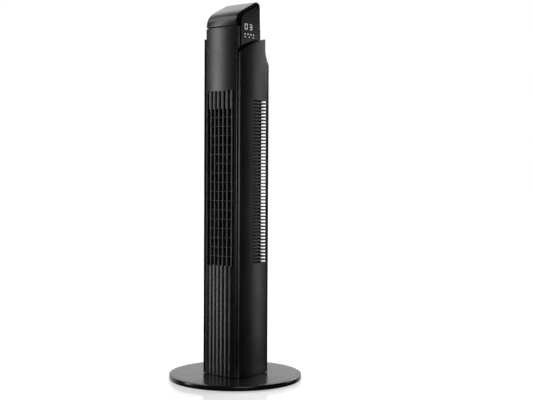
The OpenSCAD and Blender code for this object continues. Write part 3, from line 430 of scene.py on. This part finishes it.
def build_base():
    """Turned disc with a crisp bevel, a rolled lower edge and a hollow underside."""
    r = BASE_HIGH.x
    top = BASE_HIGH.z
    low = BASE_LOW.z
    bevel = 1.2 * MM
    soft = 0.35 * MM
    dip = 0.1 * MM
    roll = 0.8 * MM
    roof = top - WALL
    profile = [
        (0, roof), (r - WALL, roof), (r - WALL, low), (r - roll, low),
        (r - 0.3 * MM, low + 0.2 * MM), (r, low + roll),
        (r, top - bevel - soft), (r - dip, top - bevel), (r - bevel, top - dip),
        (r - bevel - soft, top), (r * 0.9, top), (r * 0.5, top), (0, top)]
    piece = mesh_object("base_plate", *lathe(profile, 256), angle=30)
    place(piece, "base", "base_black", BASE_BLACK, "base_disc")


# ------------------------------------------------------------ front panel

def rib_inset(x):
    """Depth of the ribbed front behind the smooth arc at x."""
    off = min(abs(x - c) for c in FIN_X)
    crest = RIB_CREST_R - math.sqrt(RIB_CREST_R ** 2 - min(off, RIB_FLAT) ** 2)
    if off <= RIB_FLAT:
        return crest
    share = min(1.0, (off - RIB_FLAT) / (FIN_PITCH / 2 - RIB_FLAT))
    return mix(crest, RIB_DEPTH, math.sin(share * math.pi / 2) ** 1.2)


def panel_columns():
    """X stations across the ribs, and the two edges of the grille's opening."""
    steps = 12
    start = FIN_X[0] - FIN_PITCH / 2
    xs = [start + k * FIN_PITCH / steps for k in range(FIN_COUNT * steps + 1)]
    return [-GRILLE_HALF, *xs, GRILLE_HALF]


def panel_section(ribbed):
    """Points of the panel's outer face in plan, from the left return to the right one."""
    corner = 4.2 * MM
    steps = 8
    land = 1 * MM
    edge = 0.4 * MM
    right = [(FRONT_HALF, RETURN_Y)]
    for k in range(steps + 1):
        a = math.radians(90 * k / steps)
        x = FRONT_HALF - corner + corner * math.cos(a)
        y = front_y(FRONT_HALF - corner) + corner - corner * math.sin(a)
        right.append((x, y))
    left = [(-x, y) for x, y in right]
    inner = []
    for x in panel_columns():
        inset = rib_inset(x) if ribbed and abs(x) < GRILLE_HALF - land else 0
        inner.append((x, front_y(x) + inset))
    strip = [(x, front_y(x)) for x in (-GRILLE_HALF - edge, GRILLE_HALF + edge)]
    return [*left, strip[0], *inner, strip[1], *reversed(right)]


def build_front_panel():
    """Sheet with the ribs below, the grille's opening in the middle and the smooth crown above."""
    plain = panel_section(False)
    ribbed = panel_section(True)
    edge = 0.8 * MM
    seam = SEAM_Z - SEAM_GAP
    rows = [
        (COLUMN_Z, ribbed), (COLUMN_Z + 0.5 * MM, ribbed),
        (mix(COLUMN_Z, GRILLE_BOTTOM, 0.5), ribbed), (GRILLE_BOTTOM, ribbed),
        (mix(GRILLE_BOTTOM, GRILLE_TOP, 0.5), plain), (GRILLE_TOP, plain),
        (GRILLE_TOP + edge, plain), (mix(GRILLE_TOP, SEAM_Z, 0.5), plain),
        (seam - edge, plain), (seam, plain)]
    first = next(i for i, p in enumerate(plain) if abs(p[0] + GRILLE_HALF) < SAME)
    last = next(i for i, p in enumerate(plain) if abs(p[0] - GRILLE_HALF) < SAME)

    def point(i, j):
        z, section = rows[j]
        return (*section[i], z)

    def keep(i, j):
        open_row = rows[j][0] >= GRILLE_BOTTOM - SAME and rows[j + 1][0] <= GRILLE_TOP + SAME
        return not (open_row and first <= i < last)

    piece = mesh_object("front_shell", *grid(len(plain), len(rows), point, keep), angle=50)
    drop_loose(piece)
    thicken(piece, WALL)
    soften(piece, 0.35 * MM)
    place(piece, "column", "front_black", FRONT_BLACK, "front_panel")


def build_groove_floor():
    """Flanges of the front panel that close the grooves beside it."""
    overlap = 1.1 * MM
    flange_t = 2 * MM
    foot_z = COLUMN_Z + 3.4 * MM
    top_z = SIDE_TOP_FRONT - 4 * MM
    parts = []
    for sign in (-1, 1):
        xs = sorted((sign * (FRONT_HALF - 1 * MM), sign * (SIDE_X + overlap)))
        parts.append(rounded_box(*xs, RETURN_Y - flange_t, RETURN_Y, foot_z, top_z, 0.4 * MM))
    piece = mesh_object("groove_floor", *joined(parts))
    place(piece, "column", "front_black", FRONT_BLACK)


# ------------------------------------------------------------ outlet grille

GRILLE_GAP = 0.3 * MM
GRILLE_BACK = 10.5 * MM
GRILLE_INNER_HALF = FRONT_HALF - WALL - GRILLE_GAP
LAND_H = 43 * MM


def build_fins():
    """Rounded upright fins that widen into broad lands at the top."""
    fin_half = 2 * MM
    fin_front = 3 * MM
    land_half = 4 * MM
    land_foot = GRILLE_TOP - LAND_H
    parts = []
    for x in FIN_X:
        y = front_y(x)
        parts.append(rounded_box(x - fin_half, x + fin_half, y + fin_front, y + GRILLE_BACK,
                                 GRILLE_BOTTOM + GRILLE_GAP, land_foot, 0.9 * MM))
        parts.append(rounded_box(x - land_half, x + land_half, y + GRILLE_GAP, y + GRILLE_BACK,
                                 land_foot, GRILLE_TOP - GRILLE_GAP, 1.1 * MM))
    fins = mesh_object("grille_fins", *joined(parts), angle=50)
    soften(fins, 0.4 * MM)
    place(fins, "column", "grille_black", GRILLE_BLACK, "outlet_grille")


def curved_bar(section, steps):
    """Bar along the front arc: its section is a loop of (back from the arc, z) points."""
    n = len(section)
    verts, faces = [], []
    for k in range(steps + 1):
        x = mix(-GRILLE_INNER_HALF, GRILLE_INNER_HALF, k / steps)
        verts += [(x, front_y(x) + back, z) for back, z in section]
    for k in range(steps):
        for s in range(n):
            a, b = k * n + s, k * n + (s + 1) % n
            faces.append((a, b, b + n, a + n))
    faces.append(tuple(range(n)))
    faces.append(tuple(reversed(range(steps * n, (steps + 1) * n))))
    return verts, faces


def build_wires():
    """Round cross wires behind the fins."""
    wire_r = 1.1 * MM
    middle = 4.6 * MM + wire_r
    pitch = 22 * MM
    clear = 20 * MM
    sides = 8
    count = int((GRILLE_TOP - GRILLE_BOTTOM - LAND_H - clear) / pitch + SAME) + 1
    turns = [2 * math.pi * s / sides for s in range(sides)]
    wires = []
    for n in range(count):
        z = GRILLE_BOTTOM + pitch * (n + 1)
        section = [(middle + wire_r * math.cos(a), z + wire_r * math.sin(a)) for a in turns]
        wires.append(curved_bar(section, 16))
    net = mesh_object("grille_wires", *joined(wires), angle=60)
    place(net, "column", "grille_black", GRILLE_BLACK)


def build_grille_frame():
    """Rails at both ends of the fins and posts at both sides."""
    lap = 1 * MM
    rail_h = 9 * MM
    depth = 6.3 * MM
    bottom = GRILLE_BOTTOM - rail_h + lap
    parts = []
    for low in (bottom, GRILLE_TOP - lap):
        high = low + rail_h
        section = [(depth, low), (GRILLE_BACK, low), (GRILLE_BACK, high), (depth, high)]
        parts.append(curved_bar(section, 12))
    y = front_y(GRILLE_INNER_HALF)
    for sign in (-1, 1):
        xs = sorted((sign * (GRILLE_HALF - lap), sign * GRILLE_INNER_HALF))
        parts.append(rounded_box(*xs, y + depth, y + GRILLE_BACK, bottom,
                                 GRILLE_TOP + rail_h - lap, 0.5 * MM))
    piece = mesh_object("grille_frame", *joined(parts), angle=50)
    soften(piece, 0.3 * MM)
    place(piece, "column", "grille_black", GRILLE_BLACK)


# ------------------------------------------------------------ side panels

def shoulder(t):
    """Curve of (y, z) from the neck down to the full depth of the column."""
    return cubic((NECK_Y, SHOULDER_TOP), (NECK_Y, SHOULDER_TOP - 20 * MM),
                 (REAR_REACH, SHOULDER_BOTTOM + 30 * MM), (REAR_REACH, SHOULDER_BOTTOM), t)


def top_edge(t, front_z):
    """Curve of (y, z) along the top of a side panel, from its front to the neck."""
    a = (SIDE_FRONT_Y, front_z)
    d = (NECK_Y, SIDE_TOP_REAR)
    rise = d[1] - a[1]
    return cubic(a, (a[0] + 26 * MM, a[1] + 0.47 * rise), (d[0] - 34 * MM, d[1] - 0.16 * rise), d, t)


def height_at(curve, y):
    """Height of a curve whose Y grows or falls with t, at the given Y."""
    low, high = 0.0, 1.0
    rising = curve(1)[0] > curve(0)[0]
    for _ in range(40):
        t = (low + high) / 2
        if (curve(t)[0] < y) == rising:
            low = t
        else:
            high = t
    return curve((low + high) / 2)[1]


def side_top(y, front_z):
    """Height of a side panel at y."""
    if y <= NECK_Y:
        return height_at(lambda t: top_edge(t, front_z), y)
    return height_at(shoulder, y)


def build_side_panel(sign):
    """One sheet from the front flange round the bevel and along the bulge, with a rolled top lip."""
    rear = SIDE_HIGH.y - 2 * MM
    fy = SIDE_FRONT_Y
    roll = 0.4 * MM
    bevel_end = fy + 3.2 * MM
    plan = [(SIDE_X, fy + WALL), (SIDE_X, fy + roll), (SIDE_X + roll, fy), (SIDE_X + 1 * MM, fy),
            (SIDE_X + 1.4 * MM, fy + 0.2 * MM),
            (side_arc_x(bevel_end) - 0.2 * MM, bevel_end - roll)]
    stations = [bevel_end + 0.1 * MM, bevel_end + 1.5 * MM]
    stations += [mix(bevel_end + 4 * MM, SLOT_Y[0] - 1 * MM, k / 7) for k in range(8)]
    stations += [SLOT_Y[0]]
    stations += [mix(SLOT_Y[0], SLOT_Y[1], k / 8) for k in range(1, 8)]
    # the top turns down sharply at the neck, then follows the shoulder
    turn = 0.05 * MM
    stations += [NECK_Y - 0.6 * MM, NECK_Y - turn, NECK_Y + turn, NECK_Y + 3 * MM, NECK_Y + 5.5 * MM]
    stations += [SLOT_Y[1], rear]
    stations = sorted(set(round(y, 7) for y in stations))
    plan += [(side_arc_x(y), y) for y in stations]
    slot_first = next(i for i, p in enumerate(plan) if abs(p[1] - SLOT_Y[0]) < SAME)
    slot_last = next(i for i, p in enumerate(plan) if abs(p[1] - SLOT_Y[1]) < SAME)

    heights = [COLUMN_Z, COLUMN_Z + 0.5 * MM, mix(COLUMN_Z, SLOT_Z, 0.5)]
    slots = set()
    for n in range(SLOT_COUNT):
        slots.add(len(heights))
        heights += [SLOT_Z + n * SLOT_PITCH, SLOT_Z + n * SLOT_PITCH + SLOT_H]
    heights.append(heights[-1] + 12 * MM)
    fixed = len(heights)
    upper = 6
    arc = 4
    right = sign > 0
    front_z = SIDE_TOP_FRONT if right else SIDE_TOP_PLAIN
    lip_r = 2.6 * MM if right else 3.4 * MM
    rows = fixed + upper + arc + 1

    def point(i, j):
        x, y = plan[i]
        top = side_top(y, front_z)
        if j < fixed:
            return (sign * x, y, heights[j])
        if j < fixed + upper:
            t = (j - fixed + 1) / upper
            return (sign * x, y, mix(heights[-1], top - lip_r, t))
        k = j - fixed - upper + 1
        reach = min(lip_r, x - SIDE_X)
        if k <= arc:
            a = math.radians(90 * k / arc)
            return (sign * (x - reach * (1 - math.cos(a))), y, top - lip_r + lip_r * math.sin(a))
        return (sign * SIDE_X, y, top)

    def keep(i, j):
        return not (j in slots and slot_first <= i < slot_last)

    name = "side_shell_right" if right else "side_shell_left"
    piece = mesh_object(name, *grid(len(plan), rows, point, keep), angle=40)
    drop_loose(piece)
    thicken(piece, SIDE_WALL)
    soften(piece, 0.3 * MM)
    node = "side_panel_right" if right else "side_panel_left"
    place(piece, "column", "shell_black", SATIN_BLACK, node)


# ------------------------------------------------------------ head

# In the head's outlines the first coordinate is Y and the second is Z
HEAD_FRONT_Y = HEAD_LOW.y
HEAD_REAR_Y = HEAD_HIGH.y
SLOPE_RUN = 1 / math.sqrt(1 + HEAD_SLOPE ** 2)
HEAD_PEAK_Z = HEAD_HIGH.z + HEAD_REAR_R * (1 / SLOPE_RUN + HEAD_SLOPE - 1)
NOTCH_Y = RETURN_Y + 0.3 * MM
HEAD_FOOT_Z = SEAM_Z + 1.8 * MM


def roof_z(y):
    """Height of the roof's straight slope at y."""
    return HEAD_PEAK_Z - HEAD_SLOPE * (HEAD_REAR_Y - y)


def rounded(corners, inset=0.0, steps=12):
    """Counter-clockwise outline of (x, y, radius) corners, rounded and moved in by inset."""
    out = []
    n = len(corners)
    for i in range(n):
        p, q, s = (Vector(corners[k % n][:2]) for k in (i - 1, i, i + 1))
        u, w = (q - p).normalized(), (s - q).normalized()
        turn = u.x * w.y - u.y * w.x
        r = max(corners[i][2] - inset, 0)
        centre = q + (r + inset) * (w - u) / turn
        if r == 0:
            out.append(centre)
            continue
        sweep = math.atan2(turn, u.dot(w))
        start = math.atan2(-u.x, u.y)
        for k in range(steps + 1):
            a = start + sweep * k / steps
            out.append(centre + r * Vector((math.cos(a), math.sin(a))))
    return out


def head_ring(inset):
    """Side-view outline of the head with the notch that the front panel fills."""
    steps = 16
    corners = [
        (HEAD_FRONT_Y, HEAD_LOW.z, 0), (HEAD_REAR_Y, HEAD_LOW.z, 0),
        (HEAD_REAR_Y, roof_z(HEAD_REAR_Y), HEAD_REAR_R),
        (HEAD_FRONT_Y, roof_z(HEAD_FRONT_Y), 0)]
    rear = rounded(corners, inset, steps)[2:3 + steps]
    tip_y = HEAD_FRONT_Y + inset
    tip = Vector((tip_y, roof_z(tip_y) - inset / SLOPE_RUN))
    top = tip + (HEAD_NOSE_REACH - inset) * Vector((SLOPE_RUN, HEAD_SLOPE * SLOPE_RUN))
    low = tip.lerp(Vector((tip_y, HEAD_FOOT_Z)), 0.95)
    pulled = [p.lerp(tip, HEAD_NOSE_PULL) for p in (top, low)]
    nose = [Vector(cubic(top, *pulled, low, k / 24)) for k in range(25)]
    return [Vector((HEAD_REAR_Y - inset, HEAD_LOW.z)), *rear, *nose,
            Vector((HEAD_FRONT_Y + inset, HEAD_FOOT_Z))]


def corner_x(x, y):
    """Draws the sides of the head in round its rear corners."""
    past = y - (HEAD_REAR_Y - HEAD_CORNER_R)
    if past <= 0:
        return x
    drop = HEAD_CORNER_R - math.sqrt(max(HEAD_CORNER_R ** 2 - past ** 2, 0))
    return x * (HEAD_HIGH.x - drop) / HEAD_HIGH.x


def follow_front(x, y):
    """Shifts the front of the head back along the column's front arc."""
    share = max(0.0, min(1.0, (HEAD_REAR_Y - y) / (HEAD_REAR_Y - HEAD_FRONT_Y)))
    return y + (front_y(x) - HEAD_FRONT_Y) * share


LENS_FRONT_Y = LENS_LOW.y
LENS_REAR_Y = LENS_HIGH.y
LENS_DROP = 10.6 * MM


def lens_corners():
    """Outline of the window in side view: it follows the roof and is cut off at the top rear."""
    cut_y = LENS_REAR_Y - 11.5 * MM
    cut_z = 13.5 * MM
    return [
        (LENS_FRONT_Y, LENS_LOW.z, 1 * MM), (LENS_REAR_Y, LENS_LOW.z, 1 * MM),
        (LENS_REAR_Y, roof_z(LENS_REAR_Y) - LENS_DROP - cut_z, 2 * MM),
        (cut_y, roof_z(cut_y) - LENS_DROP, 3 * MM),
        (LENS_FRONT_Y, roof_z(LENS_FRONT_Y) - LENS_DROP, 30 * MM)]


def build_head():
    """Sloping roof with bevelled rims and flat cheeks; the right cheek holds the window."""
    rim = [(HEAD_HIGH.x - drop, inset) for drop, inset in HEAD_RIM]
    inner = rim[-1][0]
    across = 16
    middle = [(mix(inner, -inner, k / across), 0.0) for k in range(1, across)]
    stations = rim + middle + [(-x, inset) for x, inset in reversed(rim)]
    rings = [head_ring(inset) for _, inset in stations]
    n = len(rings[0])
    verts = []
    for (x, _), ring in zip(stations, rings):
        for p in ring:
            verts.append((corner_x(x, p.x), follow_front(x, p.x), p.y))
    faces = []
    for k in range(len(stations) - 1):
        for i in range(n - 1):
            a, b = k * n + i, (k + 1) * n + i
            faces.append((a, b, b + 1, a + 1))
    bm = bmesh.new()
    made = [bm.verts.new(v) for v in verts]
    for f in faces:
        bm.faces.new([made[i] for i in f])

    def cheek(offset, x, window):
        """Flat side of the head, from its rim to the window or over the whole side."""
        edge = [made[offset + i] for i in range(n)]
        notch = bm.verts.new((x, NOTCH_Y, HEAD_FOOT_Z))
        foot = bm.verts.new((x, NOTCH_Y, HEAD_LOW.z))
        loop = [*edge, notch, foot]
        edges = []
        for i in range(len(loop)):
            pair = (loop[i], loop[(i + 1) % len(loop)])
            edges.append(bm.edges.get(pair) or bm.edges.new(pair))
        if window:
            steps_in = ((0.4 * MM, 0.0), (0.25 * MM, 0.3 * MM), (0.25 * MM, 2.0 * MM))
            rims = [[bm.verts.new((x - depth, p.x, p.y)) for p in rounded(lens_corners(), -grow, 8)]
                    for grow, depth in steps_in]
            m = len(rims[0])
            edges += [bm.edges.new((rims[0][i], rims[0][(i + 1) % m])) for i in range(m)]
            for near, far in zip(rims, rims[1:]):
                for i in range(m):
                    bm.faces.new((near[i], near[(i + 1) % m], far[(i + 1) % m], far[i]))
        bmesh.ops.triangle_fill(bm, use_beauty=True, use_dissolve=False, edges=edges)

    cheek(0, stations[0][0], True)
    cheek((len(stations) - 1) * n, stations[-1][0], False)
    bmesh.ops.remove_doubles(bm, verts=bm.verts, dist=SAME)
    bmesh.ops.recalc_face_normals(bm, faces=bm.faces)
    mesh = bpy.data.meshes.new("head_shell")
    bm.to_mesh(mesh)
    bm.free()
    piece = bpy.data.objects.new("head_shell", mesh)
    bpy.context.scene.collection.objects.link(piece)
    shade(piece, 32)
    thicken(piece, HEAD_WALL)
    even_shading(piece)
    place(piece, "column", "head_gloss", HEAD_BLACK, "head_cap")
    piece.data.materials.append(CHEEK_BLACK)
    for face in piece.data.polygons:
        if abs(face.normal.x) > 0.99:
            face.material_index = 1


def build_seam_lip():
    """Inner band that closes the joint between the head and the front panel."""
    inset = 5 * MM
    reach = 5 * MM
    band_t = 1.2 * MM
    low, high = SEAM_Z - reach, SEAM_Z + reach
    half = FRONT_HALF - 3.5 * MM
    verts, faces = [], []
    steps = 24
    for k in range(steps + 1):
        x = mix(-half, half, k / steps)
        y = front_y(x) + inset
        verts += [(x, y, low), (x, y, high), (x, y + band_t, high), (x, y + band_t, low)]
    for k in range(steps):
        for i in range(4):
            a, b = 4 * k + i, 4 * k + (i + 1) % 4
            faces.append((a, b, b + 4, a + 4))
    faces += [(0, 1, 2, 3), tuple(4 * steps + i for i in (3, 2, 1, 0))]
    piece = mesh_object("seam_lip", verts, faces)
    place(piece, "column", "front_black", DUCT_BLACK)


def build_lens():
    """Smoked window with a polished bevel round its face; the lit nodes show in that face."""
    low_x, high_x = LENS_LOW.x, LENS_HIGH.x
    gap = 0.15 * MM
    bevel = 0.6 * MM
    levels = [(low_x, gap), (high_x - bevel, gap), (high_x - 0.2 * MM, gap + 0.2 * MM),
              (high_x, gap + bevel)]
    verts, faces = [], []
    for x, inset in levels:
        ring = rounded(lens_corners(), inset, 10)
        count = len(ring)
        verts += [(x, p.x, p.y) for p in ring]
    for level in range(len(levels) - 1):
        for i in range(count):
            a, b = level * count + i, level * count + (i + 1) % count
            faces.append((a, b, b + count, a + count))
    top = (len(levels) - 1) * count
    faces.append(tuple(range(top, top + count)))
    faces.append(tuple(reversed(range(count))))
    piece = mesh_object("lens_plate", verts, faces, angle=20)
    place(piece, "column", "display_glass", LENS_BLACK, "display_lens")


# ------------------------------------------------------------ stage

def build_floor():
    """White ground that carries shadows but throws no light on to the fan."""
    size = 30
    mesh = bpy.data.meshes.new("floor")
    mesh.from_pydata([(-size, -size, 0), (size, -size, 0), (size, size, 0), (-size, size, 0)], [],
                     [(0, 1, 2, 3)])
    floor = bpy.data.objects.new("floor", mesh)
    bpy.context.scene.collection.objects.link(floor)
    material, tree, bsdf = shader("floor_white")
    cloud = noise(tree, 3, 2)
    tree.links.new(tint(tree, cloud.outputs["Fac"], (0.93, 0.93, 0.93), (0.95, 0.95, 0.95)),
                   bsdf.inputs["Base Color"])
    bsdf.inputs["Roughness"].default_value = 0.12
    bsdf.inputs["Specular IOR Level"].default_value = 0.35
    bsdf.inputs["Emission Color"].default_value = (1, 1, 1, 1)
    bsdf.inputs["Emission Strength"].default_value = 0.42
    floor.data.materials.append(material)
    floor.visible_diffuse = False
    floor.visible_glossy = False
    floor.visible_shadow = False


def build_world():
    """White to the camera; as light it is bright behind the fan and dim in front and at the right."""
    world = bpy.data.worlds.new("studio")
    bpy.context.scene.world = world
    world.use_nodes = True
    tree = world.node_tree
    back = tree.nodes["Background"]
    coords = tree.nodes.new("ShaderNodeTexCoord")
    aim = tree.nodes.new("ShaderNodeVectorMath")
    aim.operation = "DOT_PRODUCT"
    aim.inputs[1].default_value = (-0.72, 0.66, 0.22)
    tree.links.new(coords.outputs["Generated"], aim.inputs[0])
    soft = tree.nodes.new("ShaderNodeMapRange")
    soft.interpolation_type = "SMOOTHSTEP"
    soft.inputs["From Min"].default_value = 0.35
    soft.inputs["From Max"].default_value = 0.92
    soft.inputs["To Min"].default_value = 0.015
    soft.inputs["To Max"].default_value = 0.9
    tree.links.new(aim.outputs["Value"], soft.inputs["Value"])
    path = tree.nodes.new("ShaderNodeLightPath")
    choose = tree.nodes.new("ShaderNodeMix")
    choose.data_type = "FLOAT"
    tree.links.new(path.outputs["Is Camera Ray"], choose.inputs["Factor"])
    tree.links.new(soft.outputs["Result"], choose.inputs["A"])
    choose.inputs["B"].default_value = 1.0
    tree.links.new(choose.outputs["Result"], back.inputs["Strength"])
    back.inputs["Color"].default_value = (1, 1, 1, 1)


def softbox(name, place_at, aim_at, width, height, power):
    """Rectangular light with a power in watts, hidden from the camera."""
    light = bpy.data.lights.new(name, "AREA")
    light.shape = "RECTANGLE"
    light.size = width
    light.size_y = height
    light.energy = power
    lamp = bpy.data.objects.new(name, light)
    bpy.context.scene.collection.objects.link(lamp)
    lamp.visible_camera = False
    lamp.location = place_at
    lamp.rotation_euler = (Vector(aim_at) - Vector(place_at)).to_track_quat("-Z", "Y").to_euler()


def build_lights():
    """Strips and panels that draw the photograph's highlights down the front, sides and roof."""
    softbox("key_left", (-1.85, -1.9, 0.95), (0, 0, 0.8), 0.38, 2.8, 24)
    softbox("upper_left", (-1.45, -1.15, 2.6), (0, 0, 0.85), 1.6, 1.1, 14)
    softbox("roof_left", (-2.0, 1.7, 2.7), (0, 0, 0.85), 1.1, 1.1, 2.5)
    softbox("rear_right", (1.75, 2.43, 0.42), (0, 0, 0.42), 0.42, 1.65, 5)
    softbox("near_right", (2.45, -1.75, 0.5), (0, 0, 0.5), 1.5, 0.8, 20)
    softbox("head_rim", (0.1, 3, 1.5), (0, 0, 0.85), 2.2, 0.5, 32)
    softbox("high_back", (-0.3, 2.2, 2.3), (0, 0, 0.8), 2.0, 1.2, 30)


def build_camera():
    """The photograph's viewpoint: 40 degrees round to the display side, just above mid-height."""
    camera = bpy.data.cameras.new("camera")
    camera.lens = 67.07
    camera.sensor_width = 36
    camera.clip_end = 100
    eye = bpy.data.objects.new("camera", camera)
    bpy.context.scene.collection.objects.link(eye)
    azimuth = math.radians(40.37)
    distance = 2.4017
    height = 0.49055
    heading = azimuth - math.radians(1.76)
    pitch = math.radians(1.39)
    roll = math.radians(0.29)
    eye.location = (distance * math.sin(azimuth), -distance * math.cos(azimuth), height)
    eye.rotation_mode = "XYZ"
    eye.rotation_euler = (math.radians(90) - pitch, 0, heading)
    turn = eye.rotation_euler.to_matrix() @ Matrix.Rotation(roll, 3, "Z")
    eye.rotation_euler = turn.to_euler()
    bpy.context.scene.camera = eye


build_camera()
dress_nodes()
build_base()
build_front_panel()
build_groove_floor()
build_fins()
build_wires()
build_grille_frame()
build_side_panel(1)
build_side_panel(-1)
build_head()
build_seam_lip()
build_lens()
build_floor()
build_world()
build_lights()
bpy.context.scene.view_settings.view_transform = "Standard"
